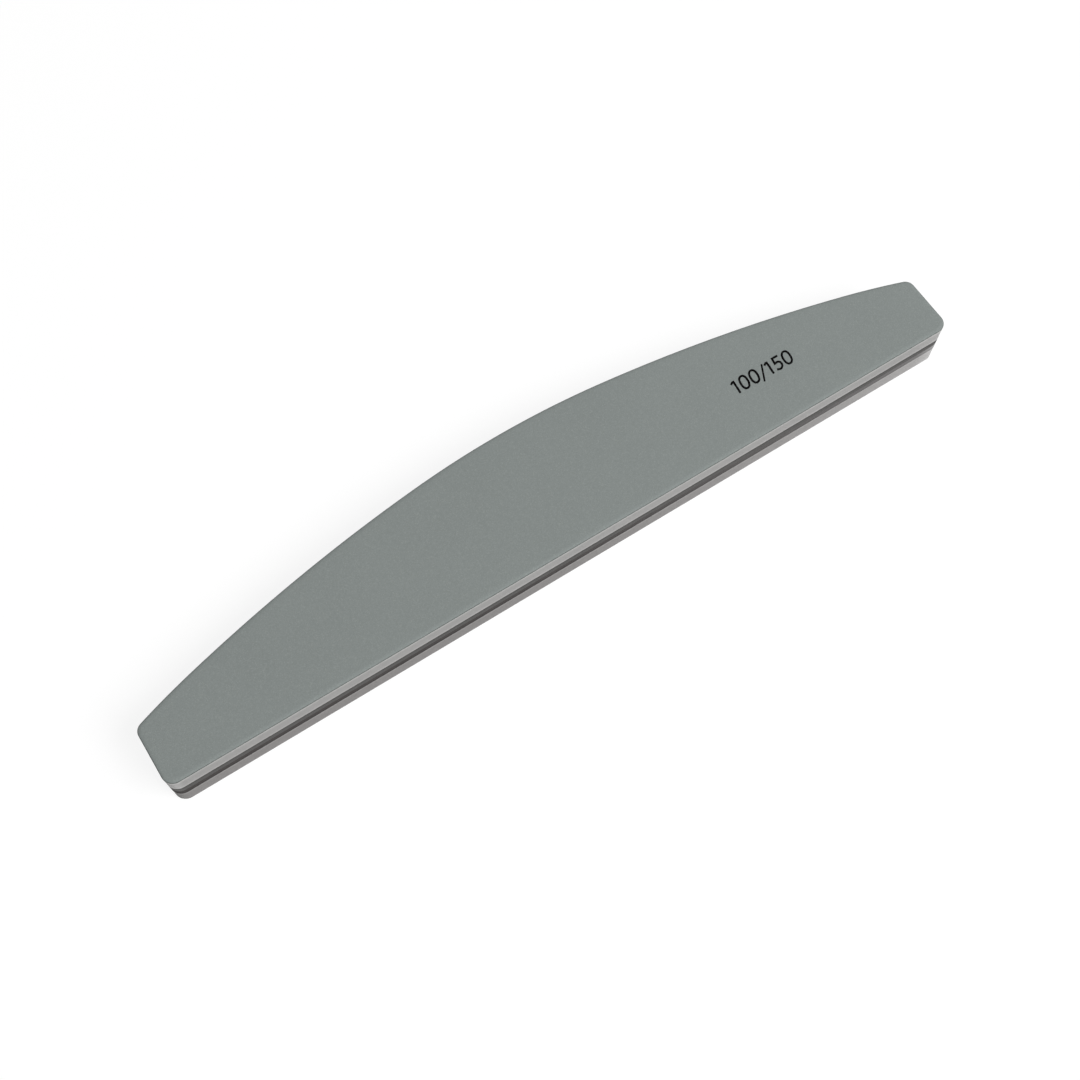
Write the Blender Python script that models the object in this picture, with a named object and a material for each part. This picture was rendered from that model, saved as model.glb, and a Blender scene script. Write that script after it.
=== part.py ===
"""Half moon nail buffer: a two-ply core between two foam pads, each pad faced with abrasive paper.

The buffer lies flat with its long straight edge towards -Y and its ends at -X and +X. The origin is under
the middle of its box, on the surface it lies on. Every layer has the same outline, because the glued sheet
is cut to shape in one stroke. The cut rolls the rim of each face over a little, and the papers follow.
"""

import math

import bmesh
import bpy

# Lengths are given in millimetres
MM = 0.001

# The outline, seen from above
LENGTH = 178.0 * MM         # end to end
WIDTH = 28.2 * MM           # straight edge to the top of the arc
END_HEIGHT = 13.2 * MM      # straight edge to the point where an end and the flanks' arc would meet
CROWN_RADIUS = 200.0 * MM   # the arc over the middle
CROWN_REACH = 21.0 * MM     # how far that arc runs to each side of the middle
SHOULDER_RUN = 13.4 * MM    # the rounder last stretch of the arc, measured in from the end
SHOULDER_RADIUS = 170.0 * MM
HEEL_RADIUS = 2.4 * MM      # corners on the straight edge
TIP_RADIUS = 2.0 * MM       # corners between an end and the arc

# The layers, each from the middle of one glue line to the next
COAT_100 = 0.18 * MM        # coarse grain in its resin
COAT_150 = 0.14 * MM        # fine grain in its resin
PAPER = 0.22 * MM
PAPER_GLUE = 0.08 * MM
FOAM = 3.7 * MM
PAD_GLUE = 0.08 * MM
CORE_PLY = 1.7 * MM
CORE_BOND = 0.12 * MM
SEAM = 0.01 * MM            # hairline between two layers

# The rolled rim of each face
ROLL_WIDTH = 0.9 * MM
ROLL_DROP = 0.2 * MM

# How finely the round stretches are divided
CROWN_STEPS = 5
FLANK_STEPS = 10
SHOULDER_STEPS = 3
CORNER_STEPS = 6
ROLL_STEPS = 3


def circle_points(centre, radius, start, end, steps):
    """Points on a circle from bearing start to bearing end, both included; bearings are from +X."""
    bearings = [start + (end - start) * step / steps for step in range(steps + 1)]
    return [(centre[0] + radius * math.cos(b), centre[1] + radius * math.sin(b)) for b in bearings]


def half_outline():
    """The outline's right half, from the foot of the end up over the corner and the arc to the middle.

    The crown arc is centred on the middle line. The flank arc leaves it at CROWN_REACH with the same
    tangent, and its radius is the one that would take it through the end line at END_HEIGHT. The
    shoulder arc leaves the flank SHOULDER_RUN before the end, again with the same tangent. The tip arc
    touches the shoulder and the end line, and the heel arc touches the end line and the straight edge.
    Bearings are those of the direction that points out of the buffer.
    """
    half = LENGTH / 2
    crown = (0.0, WIDTH - CROWN_RADIUS)
    lean = math.asin(CROWN_REACH / CROWN_RADIUS)
    joint = (CROWN_REACH, crown[1] + CROWN_RADIUS * math.cos(lean))

    # A circle through two points with a known tangent at one: chord squared over twice its depth
    run = half - joint[0]
    fall = joint[1] - END_HEIGHT
    depth = fall * math.cos(lean) - run * math.sin(lean)
    flank_radius = (run * run + fall * fall) / (2 * depth)
    flank = (joint[0] - flank_radius * math.sin(lean), joint[1] - flank_radius * math.cos(lean))

    turn = math.acos((half - SHOULDER_RUN - flank[0]) / flank_radius)
    apart = flank_radius - SHOULDER_RADIUS
    shoulder = (flank[0] + apart * math.cos(turn), flank[1] + apart * math.sin(turn))

    tip_x = half - TIP_RADIUS
    tip_rise = math.sqrt((SHOULDER_RADIUS - TIP_RADIUS) ** 2 - (tip_x - shoulder[0]) ** 2)
    tip = (tip_x, shoulder[1] + tip_rise)
    meet = math.atan2(tip_rise, tip_x - shoulder[0])
    heel = (half - HEEL_RADIUS, HEEL_RADIUS)

    points = circle_points(heel, HEEL_RADIUS, math.radians(-90), 0, CORNER_STEPS)
    points += circle_points(tip, TIP_RADIUS, 0, meet, CORNER_STEPS)
    points += circle_points(shoulder, SHOULDER_RADIUS, meet, turn, SHOULDER_STEPS)[1:]
    points += circle_points(flank, flank_radius, turn, math.radians(90) - lean, FLANK_STEPS)[1:]
    points += circle_points(crown, CROWN_RADIUS, math.radians(90) - lean, math.radians(90), CROWN_STEPS)[1:]
    return points


def outline():
    """The whole outline, anticlockwise from the right heel, with its box centred on the origin."""
    right = half_outline()
    left = [(-x, y) for x, y in reversed(right[:-1])]
    return [(x, y - WIDTH / 2) for x, y in right + left]


def material(name, colour, roughness):
    """A dry, non-metallic finish; the colour is given as it looks, in steps of 255."""
    finish = bpy.data.materials.new(name)
    finish.use_nodes = True
    shader = finish.node_tree.nodes["Principled BSDF"]
    linear = [(c / 255) ** 2.2 for c in colour]
    shader.inputs["Base Color"].default_value = (*linear, 1)
    shader.inputs["Roughness"].default_value = roughness
    shader.inputs["Metallic"].default_value = 0
    return finish


def plate(name, low, high):
    """A flat layer of the buffer's outline between two heights, as a filled 2D curve."""
    curve = bpy.data.curves.new(name, "CURVE")
    curve.dimensions = "2D"
    curve.fill_mode = "BOTH"
    curve.extrude = (high - low) / 2
    points = outline()
    spline = curve.splines.new("POLY")
    spline.points.add(len(points) - 1)
    for spline_point, (x, y) in zip(spline.points, points):
        spline_point.co = (x, y, 0, 1)
    spline.use_cyclic_u = True
    layer = bpy.data.objects.new(name, curve)
    layer.location.z = (high + low) / 2
    parts.objects.link(layer)
    return layer


def as_mesh(layer):
    """The layer as a mesh whose two caps are joined to its wall, in the curve's place."""
    bpy.context.view_layer.update()
    evaluated = layer.evaluated_get(bpy.context.evaluated_depsgraph_get())
    mesh = bpy.data.meshes.new_from_object(evaluated)
    matrix = layer.matrix_world.copy()
    name = layer.name
    bpy.data.objects.remove(layer)
    solid = bpy.data.objects.new(name, mesh)
    solid.matrix_world = matrix
    parts.objects.link(solid)
    return solid


def roll_rim(bm, cap, drop):
    """Roll a cap's rim over by drop; drop is negative for a rim that goes down.

    Narrow rings are inset from the rim inwards. Their height is a parabola across ROLL_WIDTH: the full
    drop at the rim, and none, with no slope, where the flat face begins.
    """
    face_height = cap.verts[0].co.z
    for vert in cap.verts:
        vert.co.z += drop
    for step in range(1, ROLL_STEPS + 1):
        bmesh.ops.inset_region(bm, faces=[cap], thickness=ROLL_WIDTH / ROLL_STEPS, use_even_offset=True)
        left = 1 - step / ROLL_STEPS
        for vert in cap.verts:
            vert.co.z = face_height + drop * left ** 2


def roll_faces(layer, roll_top, roll_bottom, drop):
    """Weld the layer's caps and roll the rim of the top one, the bottom one or both, the same way."""
    bm = bmesh.new()
    bm.from_mesh(layer.data)
    bmesh.ops.remove_doubles(bm, verts=bm.verts, dist=SEAM / 10)
    bmesh.ops.recalc_face_normals(bm, faces=bm.faces)
    for up, wanted in ((1, roll_top), (-1, roll_bottom)):
        if not wanted:
            continue
        facing = [face for face in bm.faces if face.normal.z * up > 0.9]
        cap = bmesh.ops.dissolve_faces(bm, faces=facing)["region"][0]
        roll_rim(bm, cap, drop)
    bm.to_mesh(layer.data)
    bm.free()


for old in list(bpy.data.objects):
    bpy.data.objects.remove(old, do_unlink=True)

parts = bpy.data.collections.new("half_moon_nail_buffer")
bpy.context.scene.collection.children.link(parts)

coat_finish = material("abrasive_coat", (133, 139, 137), 0.95)
paper_finish = material("backing_paper", (160, 161, 159), 0.9)
glue_finish = material("glue_film", (176, 175, 172), 0.5)
foam_finish = material("foam", (163, 162, 161), 0.95)
core_finish = material("core_board", (95, 94, 93), 0.7)
bond_finish = material("core_bond", (84, 82, 81), 0.6)

# From the bottom up: name, thickness, finish, which faces follow a rolled rim, and which way it rolls
FLAT = (False, False, 0.0)
FOLLOWS_BOTTOM = (True, True, ROLL_DROP)
FOLLOWS_TOP = (True, True, -ROLL_DROP)
STACK = (
    ("abrasive_coat_150", COAT_150, coat_finish, FOLLOWS_BOTTOM),
    ("backing_paper_150", PAPER, paper_finish, FOLLOWS_BOTTOM),
    ("paper_glue_150", PAPER_GLUE, glue_finish, FOLLOWS_BOTTOM),
    ("foam_pad_150", FOAM, foam_finish, (False, True, ROLL_DROP)),
    ("pad_glue_150", PAD_GLUE, glue_finish, FLAT),
    ("core_ply_150", CORE_PLY, core_finish, FLAT),
    ("core_bond", CORE_BOND, bond_finish, FLAT),
    ("core_ply_100", CORE_PLY, core_finish, FLAT),
    ("pad_glue_100", PAD_GLUE, glue_finish, FLAT),
    ("foam_pad_100", FOAM, foam_finish, (True, False, -ROLL_DROP)),
    ("paper_glue_100", PAPER_GLUE, glue_finish, FOLLOWS_TOP),
    ("backing_paper_100", PAPER, paper_finish, FOLLOWS_TOP),
    ("abrasive_coat_100", COAT_100, coat_finish, FOLLOWS_TOP),
)

buffer_origin = bpy.data.objects.new("buffer_origin", None)
parts.objects.link(buffer_origin)

height = 0.0
for name, thickness, finish, (roll_top, roll_bottom, drop) in STACK:
    low = height if name == STACK[0][0] else height + SEAM / 2
    height += thickness
    high = height if name == STACK[-1][0] else height - SEAM / 2
    layer = as_mesh(plate(name, low, high))
    roll_faces(layer, roll_top, roll_bottom, drop)
    layer.data.materials.clear()
    layer.data.materials.append(finish)
    layer.parent = buffer_origin
    print(name, "from", round(low / MM, 3), "to", round(high / MM, 3), "mm")
print("thickness", round(height / MM, 3), "mm")
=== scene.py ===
# %% [markdown]
# Half moon nail buffer.
# The real buffer is a glued stack. Two thin dark boards lie back to back, each carries a soft foam pad,
# and each pad carries a sheet of abrasive paper. The stack is cut to a half moon in one stroke, so every
# layer shows its edge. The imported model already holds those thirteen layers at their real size. All of
# them could be modelled again, but the papers and the films of glue show only as thin lines. So this
# lesson keeps those and gives them a finish, and it makes the surfaces that the eye rests on again, with
# the fine form that a solid leaves out.

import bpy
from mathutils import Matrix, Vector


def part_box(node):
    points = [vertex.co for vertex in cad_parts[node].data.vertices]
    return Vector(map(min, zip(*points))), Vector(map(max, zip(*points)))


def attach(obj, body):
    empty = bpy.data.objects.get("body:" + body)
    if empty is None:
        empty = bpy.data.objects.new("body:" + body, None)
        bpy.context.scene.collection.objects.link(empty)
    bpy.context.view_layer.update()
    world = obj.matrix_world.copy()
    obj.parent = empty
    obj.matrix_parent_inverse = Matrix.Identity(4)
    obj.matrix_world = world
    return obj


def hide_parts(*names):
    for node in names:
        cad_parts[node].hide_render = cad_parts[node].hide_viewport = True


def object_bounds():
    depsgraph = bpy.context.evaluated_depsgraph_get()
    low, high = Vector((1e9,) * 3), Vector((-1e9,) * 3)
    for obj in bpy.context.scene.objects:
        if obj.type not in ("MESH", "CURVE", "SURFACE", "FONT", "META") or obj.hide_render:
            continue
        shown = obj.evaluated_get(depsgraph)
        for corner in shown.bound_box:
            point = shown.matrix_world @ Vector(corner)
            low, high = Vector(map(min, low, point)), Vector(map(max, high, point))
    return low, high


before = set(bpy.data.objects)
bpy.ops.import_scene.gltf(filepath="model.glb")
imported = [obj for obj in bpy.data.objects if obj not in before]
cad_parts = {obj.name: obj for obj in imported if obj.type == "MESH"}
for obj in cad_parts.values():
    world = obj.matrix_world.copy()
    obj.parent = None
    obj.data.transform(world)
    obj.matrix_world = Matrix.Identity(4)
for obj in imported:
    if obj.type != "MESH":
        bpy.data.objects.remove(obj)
cad_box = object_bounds()
print("layers:", len(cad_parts))

# %% [markdown]
# All shapes below are worked out in millimetres and become metres only when they are put in a mesh,
# because 0.2 is easier to read than 0.0002. The length, the width and the heights of the layers could be
# typed in again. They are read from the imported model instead, so the looks can't drift away from it.

# %% Units and overall size
import math

import bpy
import numpy as np
from mathutils import Matrix

MM = 0.001
LENGTH, WIDTH, THICKNESS = (np.array(cad_box[1]) - np.array(cad_box[0])) / MM
print("length, width, thickness in mm:", LENGTH.round(2), WIDTH.round(2), THICKNESS.round(2))

# %% [markdown]
# The camera stands where the picture was taken from. It could be moved by hand until the outlines agree,
# but fitting a pinhole camera to the edges of the buffer in the picture is exact to a fraction of a
# pixel. It gives a 50 mm lens, close above the left half, looking down steeply past the straight edge.
# The values are a point that it aims at, a distance, two angles and a slight roll, which say more than a
# matrix would.

# %% Camera
LENS = 50.0
SENSOR = 36.0
AIM = np.array([-5.675, -7.193, 6.0])
DISTANCE = 292.85
HEADING = math.radians(33.878)      # from +Y towards +X
LOOK_DOWN = math.radians(66.734)
ROLL = math.radians(1.220)          # the right side of the camera is a little higher


def camera_matrix():
    """The camera's axes as columns: right, up and backwards, then its place.

    Forward follows from the two angles. A level right-hand axis lies at a quarter turn to it, and the roll
    turns that axis towards the one above.
    """
    forward = np.array([math.sin(HEADING), math.cos(HEADING), 0]) * math.cos(LOOK_DOWN)
    forward[2] = -math.sin(LOOK_DOWN)
    level = np.array([math.cos(HEADING), -math.sin(HEADING), 0])
    right = math.cos(ROLL) * level + math.sin(ROLL) * np.cross(level, forward)
    place = (AIM - forward * DISTANCE) * MM
    matrix = np.eye(4)
    matrix[:3] = np.column_stack([right, np.cross(right, forward), -forward, place])
    return Matrix(matrix.tolist())


camera = bpy.data.objects.new("camera", bpy.data.cameras.new("camera"))
camera.data.lens = LENS
camera.data.sensor_width = SENSOR
camera.data.clip_start = 1 * MM
camera.matrix_world = camera_matrix()
bpy.context.scene.collection.objects.link(camera)
bpy.context.scene.camera = camera
bpy.context.scene.view_settings.view_transform = "Standard"
print("camera at", [round(c / MM, 1) for c in camera.matrix_world.translation], "mm")

# %% [markdown]
# Materials are node trees. They could be wired by hand in the shader editor, but a script can be read and
# changed later. There each node needs the same three steps: add it, set what stays constant, wire what
# varies. One helper does that. Colours are written as they look on a screen, from 0 to 255, because that
# is how they are read from a picture, and the renderer wants them linear.

# %% Helpers for nodes and colours


def linear(*looks):
    """A screen colour made linear: c / 12.92 near black, and ((c + 0.055) / 1.055) ** 2.4 above it."""
    screen = np.array(looks) / 255
    straight = np.where(screen <= 0.04045, screen / 12.92, ((screen + 0.055) / 1.055) ** 2.4)
    return (*straight.tolist(), 1.0)


def add(tree, kind, wires=(), **settings):
    """A new shader node. Each wire is an input's name or number, and a constant or the output that feeds
    it."""
    node = tree.nodes.new("ShaderNode" + kind)
    for key, value in settings.items():
        setattr(node, key, value)
    for key, value in wires:
        if isinstance(value, bpy.types.NodeSocket):
            tree.links.new(value, node.inputs[key])
        else:
            node.inputs[key].default_value = value
    return node


print("a middle grey of 128 is", round(linear(128)[0], 3), "in linear light")

# %% [markdown]
# Four kinds of node make up most of the trees below: arithmetic, a colour made darker or paler, a mix of
# two colours, and a ramp. Each could be added in full every time, but a short helper keeps a formula
# readable, and the numbers of the sockets stay in one place.

# %% Helpers for the most used nodes


def calc(tree, operation, *values):
    """The result of a Math node on two or three values, each a constant or an output."""
    return add(tree, "Math", enumerate(values), operation=operation).outputs[0]


def scaled(tree, colour, factor):
    """A colour times a factor, each a constant or an output."""
    return add(tree, "VectorMath", [(0, colour), ("Scale", factor)], operation="SCALE").outputs[0]


def blend(tree, factor, first, second):
    """The first colour where the factor is 0 and the second where it is 1, with even steps between."""
    return add(tree, "Mix", [(0, factor), (6, first), (7, second)], data_type="RGBA").outputs[2]


def ramp(tree, value, start, end, low=0.0, high=1.0, smooth=False):
    """Low up to start, high from end on, and between them a straight line or a smooth step."""
    kind = "SMOOTHSTEP" if smooth else "LINEAR"
    wires = enumerate((value, start, end, low, high))
    return add(tree, "MapRange", wires, interpolation_type=kind).outputs[0]


print("helpers:", [helper.__name__ for helper in (calc, scaled, blend, ramp)])

# %% [markdown]
# The picture has a pure white ground. A floor lit that brightly would burn the object out, and with no
# floor at all the object would lose its shadow. So the floor only looks white: rays from the camera, and
# rays that reflections send out, see a floor that glows by itself, and all other rays see a plain pale
# one. The Light Path node tells the two apart.

# %% Light Path mask


def seen_directly(tree):
    """One for rays from the camera, from a gloss or through glass, and none for light that bounces about."""
    path = add(tree, "LightPath").outputs
    glossy = calc(tree, "MAXIMUM", path["Is Camera Ray"], path["Is Glossy Ray"])
    return calc(tree, "MAXIMUM", glossy, path["Is Transmission Ray"])


print("the mask is 1 for camera, glossy and transmission rays")

# %% [markdown]
# The floor is one flat square under the object. What the camera sees of it is a glow plus a little real
# light, and that light is what the object's shadow takes away. The glow could be the same everywhere, but
# far from the lamps the rest would be missing, and low views would end in a grey band. So the glow grows
# with the distance from the object until it is white by itself.

# %% Floor
FLOOR_SIZE = 6.0            # metres
FLOOR_PLAIN = 0.62          # what the floor gives back to the object
FLOOR_GLOW = 0.88           # what the camera sees of it even in shadow
FLOOR_LIT = 0.14            # what light adds to that
WHITE_FROM, WHITE_TO = 0.4, 1.2   # metres from the object, over which the glow alone becomes white


def floor_material():
    """Diffuse for bounced light. For the camera, diffuse plus a glow that rises to 1 with the distance."""
    finish = bpy.data.materials.new("studio_floor")
    finish.use_nodes = True
    tree = finish.node_tree
    tree.nodes.clear()
    plain = add(tree, "BsdfDiffuse", [("Color", (FLOOR_PLAIN, FLOOR_PLAIN, FLOOR_PLAIN, 1))])
    lit = add(tree, "BsdfDiffuse", [("Color", (FLOOR_LIT, FLOOR_LIT, FLOOR_LIT, 1))])
    away = add(tree, "VectorMath", [(0, add(tree, "TexCoord").outputs["Object"])], operation="LENGTH")
    strength = ramp(tree, away.outputs["Value"], WHITE_FROM, WHITE_TO, FLOOR_GLOW, 1.0)
    glow = add(tree, "Emission", [("Strength", strength)])
    white = add(tree, "AddShader", [(0, lit.outputs[0]), (1, glow.outputs[0])])
    mix = add(tree, "MixShader", [(0, seen_directly(tree)), (1, plain.outputs[0]), (2, white.outputs[0])])
    add(tree, "OutputMaterial", [("Surface", mix.outputs[0])])
    return finish


floor_mesh = bpy.data.meshes.new("studio_floor")
reach = FLOOR_SIZE / 2
floor_mesh.from_pydata([(-reach, -reach, 0), (reach, -reach, 0), (reach, reach, 0), (-reach, reach, 0)], [],
                       [(0, 1, 2, 3)])
floor_mesh.materials.append(floor_material())
floor = bpy.data.objects.new("studio_floor", floor_mesh)
bpy.context.scene.collection.objects.link(floor)
print("floor of", FLOOR_SIZE, "m")

# %% [markdown]
# The light is one large softbox in front of the straight edge, an even sky, and two weak low lamps. A
# ready-made surround would light the object too, but lamps can be set one by one until the rims agree
# with the picture. There the rolled rim along the straight edge is lighter than the face, and the rim
# along the arc is darker. That fixes the height of the softbox at about fifty degrees. The rim of the
# left end is darker than that of the right end, which turns the softbox thirty degrees to the right. One
# low lamp stands on the left, because the left heel stays pale in the picture, and one behind, so that
# the arc side shows its material.

# %% Softbox and sky
KEY_DISTANCE = 1.5          # metres
KEY_SIZE = 0.75
KEY_HEIGHT = math.radians(49)
KEY_TURN = math.radians(30)  # from -Y, the side of the straight edge, towards +X
KEY_WATTS = 24.0
SKY = 0.176
FILL_DISTANCE = 1.2
FILL_SIZE = 0.2
FILL_HEIGHT = math.radians(5)
LEFT_FILL = (math.radians(-60), 2.0)   # turn and watts
BACK_FILL = (math.radians(160), 3.5)


def area_light(name, distance, size, height, turn, watts):
    """A square light that faces the origin, at a height over the floor and a turn from -Y towards +X."""
    lamp = bpy.data.objects.new(name, bpy.data.lights.new(name, "AREA"))
    lamp.data.shape = "SQUARE"
    lamp.data.size = size
    lamp.data.energy = watts
    level = np.array([math.sin(turn), -math.cos(turn), 0]) * math.cos(height)
    lamp.location = (level + np.array([0, 0, math.sin(height)])) * distance
    lamp.rotation_euler = lamp.location.to_track_quat("Z", "Y").to_euler()
    lamp.visible_camera = False
    bpy.context.scene.collection.objects.link(lamp)
    return lamp


softbox = area_light("softbox", KEY_DISTANCE, KEY_SIZE, KEY_HEIGHT, KEY_TURN, KEY_WATTS)
area_light("left_fill", FILL_DISTANCE, FILL_SIZE, FILL_HEIGHT, *LEFT_FILL)
area_light("back_fill", FILL_DISTANCE, FILL_SIZE, FILL_HEIGHT, *BACK_FILL)

sky = bpy.data.worlds.new("studio_sky")
sky.use_nodes = True
sky.node_tree.nodes.clear()
sky_light = ramp(sky.node_tree, seen_directly(sky.node_tree), 0.0, 1.0, SKY, 1.0)
background = add(sky.node_tree, "Background", [("Color", (1, 1, 1, 1)), ("Strength", sky_light)])
add(sky.node_tree, "OutputWorld", [("Surface", background.outputs[0])])
bpy.context.scene.world = sky
print("softbox at", [round(c, 2) for c in softbox.location], "m, sky of", SKY)

# %% [markdown]
# The outline is a chain of arcs between the ends and the long straight edge: one arc over the middle, a
# flatter one down each flank, a rounder one over each shoulder, and a small round at each tip and heel.
# It could be drawn as a Bezier curve, but a cutting die is made from arcs, and each radius can be
# measured. Neighbours share a tangent, so the flank's radius isn't chosen: it follows from where the
# flank starts and where it comes down to. In this cell y counts from the straight edge.

# %% The arcs of the outline
END_HEIGHT = 13.2           # where an end and the flanks' arc would meet
CROWN_RADIUS = 200.0
CROWN_REACH = 21.0
SHOULDER_RUN = 13.4         # from the end inwards
SHOULDER_RADIUS = 170.0
HEEL_RADIUS = 2.4
TIP_RADIUS = 2.0
HALF = LENGTH / 2

lean = math.asin(CROWN_REACH / CROWN_RADIUS)
crown_y = WIDTH - CROWN_RADIUS
joint_y = crown_y + CROWN_RADIUS * math.cos(lean)
run = HALF - CROWN_REACH
fall = joint_y - END_HEIGHT
flank_radius = (run**2 + fall**2) / (2 * (fall * math.cos(lean) - run * math.sin(lean)))
flank_x = CROWN_REACH - flank_radius * math.sin(lean)
flank_y = joint_y - flank_radius * math.cos(lean)
turn = math.acos((HALF - SHOULDER_RUN - flank_x) / flank_radius)
shoulder_x = flank_x + (flank_radius - SHOULDER_RADIUS) * math.cos(turn)
shoulder_y = flank_y + (flank_radius - SHOULDER_RADIUS) * math.sin(turn)
tip_x = HALF - TIP_RADIUS
tip_y = shoulder_y + math.sqrt((SHOULDER_RADIUS - TIP_RADIUS) ** 2 - (tip_x - shoulder_x) ** 2)
touch_x = tip_x + TIP_RADIUS * (tip_x - shoulder_x) / (SHOULDER_RADIUS - TIP_RADIUS)
print("flank radius", round(flank_radius, 1), "mm, the tip is centred", round(tip_y, 2), "mm up")

# %% [markdown]
# Each layer is a grid bent to that outline. Blender can fill an outline by itself, but then nothing says
# where the points lie. Here the columns of the grid stand along the length, evenly in the middle and
# closer together over the rounded corners, as a sine does. For every column two functions of x give the
# foot on the straight edge and the head on the arc, and with them the direction that points into the
# layer.

# %% Columns, foot and head


def columns(step):
    """Places along the length: even up to the tips, then the tip's radius times the sine of an even angle."""
    turn = np.linspace(0, math.pi / 2, round(TIP_RADIUS * math.pi / 2 / step) + 1)[1:]
    right = tip_x + TIP_RADIUS * np.sin(turn)
    return np.concatenate([-right[::-1], np.linspace(-tip_x, tip_x, round(2 * tip_x / step) + 1), right])


def on_arc(x, centre_x, centre_y, radius, side):
    """Heights on a circle above (side 1) or below (side -1) its centre, by the root of radius^2 - across^2,
    and the directions to its centre."""
    across = x - centre_x
    up = side * np.sqrt(np.maximum(radius**2 - across**2, 0))
    return centre_y + up, np.stack([-across, -up], -1) / radius


def foot(x):
    """The straight edge at y = 0, rounded up at the heels by a circle of HEEL_RADIUS."""
    y, inward = on_arc(np.abs(x), HALF - HEEL_RADIUS, HEEL_RADIUS, HEEL_RADIUS, -1)
    straight = np.abs(x) <= HALF - HEEL_RADIUS
    y = np.where(straight, 0, y)
    inward = np.where(straight[:, None], (0, 1), inward * np.stack([np.sign(x), np.ones_like(x)], -1))
    return y, inward


def head(x):
    """The arc: the circles of crown, flank, shoulder and tip, each where it is the outline."""
    far = np.abs(x)
    pieces = [
        on_arc(far, 0, crown_y, CROWN_RADIUS, 1),
        on_arc(far, flank_x, flank_y, flank_radius, 1),
        on_arc(far, shoulder_x, shoulder_y, SHOULDER_RADIUS, 1),
        on_arc(far, tip_x, tip_y, TIP_RADIUS, 1),
    ]
    which = np.digitize(far, [CROWN_REACH, HALF - SHOULDER_RUN, touch_x])
    y = np.choose(which, [piece[0] for piece in pieces])
    inward = np.choose(which[:, None], [piece[1] for piece in pieces])
    return y, inward * np.stack([np.where(x < 0, -1, 1), np.ones_like(x)], -1)


check = columns(1.0)
print("height at the middle", head(np.array([0.0]))[0], "and columns at 1 mm:", len(check))

# %% [markdown]
# Going once round the outline gives a closed loop: the feet from left to right, the right end upwards,
# the heads back to the left, the left end down. A smaller copy of it could come from the inset tool, face
# by face. But every point here has its inward direction, so a copy drawn in by any distance is one sum.
# All arcs are wider than that distance, so the inner loops never cross themselves.

# %% The loop round a layer


class Loop:
    """Points round the outline, their inward directions and their distance along it."""

    def __init__(self, step, rows):
        x = columns(step)
        self.columns = len(x)
        self.rows = rows
        foot_y, foot_in = foot(x)
        head_y, head_in = head(x)
        end = np.linspace(foot_y[-1], head_y[-1], rows)[1:-1]
        side = np.stack([np.full_like(end, HALF), end], -1)
        away = np.tile((-1.0, 0.0), (rows - 2, 1))
        self.points = np.concatenate([
            np.stack([x, foot_y], -1), side, np.stack([x, head_y], -1)[::-1], side[::-1] * (-1, 1),
        ])
        self.points[:, 1] -= WIDTH / 2
        self.inward = np.concatenate([foot_in, away, head_in[::-1], -away])
        gaps = np.linalg.norm(np.roll(self.points, -1, 0) - self.points, axis=1)
        self.length = gaps.sum()
        self.along = np.concatenate([[0], np.cumsum(gaps)[:-1]])

    def frame_of(self, ring):
        """The ring's entries as the four sides of a grid: foot row, head row, left column, right column."""
        n, m = self.columns, self.rows
        foot_row = ring[:n]
        right = ring[n - 1:n + m - 1]
        head_row = ring[n + m - 2:2 * n + m - 2][::-1]
        left = np.concatenate([ring[2 * n + m - 3:], ring[:1]])[::-1]
        return foot_row, head_row, left, right


TEST_STEP = 0.25
TEST_ROWS = 40
loop = Loop(TEST_STEP, TEST_ROWS)
print("once round is", round(loop.length, 1), "mm, in", len(loop.points), "points")

# %% [markdown]
# A layer's section is a short profile: how far in from the outline, and how high. An extruded curve with
# a bevel would give a wall and a round edge, but the same one above and below. A profile can have any
# section. Carried round the loop, it makes the wall and the rims in one closed band, and two caps close
# it. A cap that nobody sees is a ladder, one long quad a column, with a fan of triangles at each end. The
# abrasive faces get a full grid, which takes the grain.

# %% Carrying a profile round the loop


def band(loop, profile):
    """Point (k, t) is the loop's point t, moved in by the profile's inset k, at the profile's height k."""
    inset, height = np.asarray(profile).T
    flat = loop.points[None] + inset[:, None, None] * loop.inward[None]
    return np.concatenate([flat, np.broadcast_to(height[:, None, None], (*flat.shape[:2], 1))], -1)


def band_faces(rings, around):
    """Quads between neighbouring rings, closed round the loop. They face out if the profile runs upwards."""
    k, t = np.meshgrid(np.arange(rings - 1), np.arange(around), indexing="ij")
    after = (t + 1) % around
    return np.stack([k * around + t, k * around + after, (k + 1) * around + after, (k + 1) * around + t],
                    -1).reshape(-1, 4)


def ladder(loop, ring):
    """Faces across a ring of vertex numbers, facing up: a quad a column, fans over the two end columns."""
    low, high, left, right = loop.frame_of(ring)
    quads = np.stack([low[1:-2], low[2:-1], high[2:-1], high[1:-2]], -1)
    half = loop.rows // 2
    fans = []
    for end, near_low, near_high in ((left[::-1], low[1], high[1]), (right, high[-2], low[-2])):
        hubs = np.where(np.arange(loop.rows - 1) < half, near_high, near_low)
        fans.append(np.stack([end[:-1], end[1:], hubs], -1))
        fans.append(np.array([[end[half], near_low, near_high]]))
    return quads, np.concatenate(fans)


def closed_faces(loop, rings):
    """All faces of a closed layer: its band, a ladder on top, and one underneath that faces down."""
    number = np.arange(len(loop.points))
    top_quads, top_fans = ladder(loop, number + (rings - 1) * len(number))
    quads, fans = ladder(loop, number)
    return [band_faces(rings, len(number)), top_quads, top_fans, quads[:, ::-1], fans[:, ::-1]]


quads, triangles = ladder(loop, np.arange(len(loop.points)))
print("a ladder cap has", len(quads), "quads and", len(triangles), "triangles")

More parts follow.
